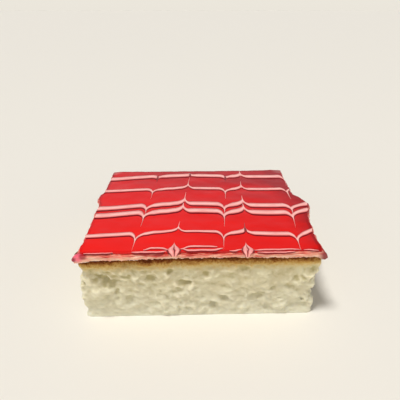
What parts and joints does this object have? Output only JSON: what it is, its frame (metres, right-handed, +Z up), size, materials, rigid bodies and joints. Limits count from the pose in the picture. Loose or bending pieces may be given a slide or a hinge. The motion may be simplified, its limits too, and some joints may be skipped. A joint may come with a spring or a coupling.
{
  "type": "tres leches cake slice",
  "caption": "Square-cut slice of milk-soaked sponge cake with a browned top, a thin cream layer and a glossy red glaze feathered with white icing lines",
  "frame": {"origin": "middle of the flat base that the slice stands on", "axes": "+Z up, +X to the right along the longer side, -Y towards the viewer of the picture"},
  "size_m": [0.1074, 0.0908, 0.0344],
  "materials": {
    "sponge": "soaked pale sponge crumb, browned at the top edge",
    "cream": "soft cream, stained pink along the cut",
    "glaze": "glossy red glaze with pinkish white feathered icing"
  },
  "bodies": {
    "root": {"sponge": "sponge", "cream": "cream", "glaze": "glaze"}
  },
  "joints": []
}
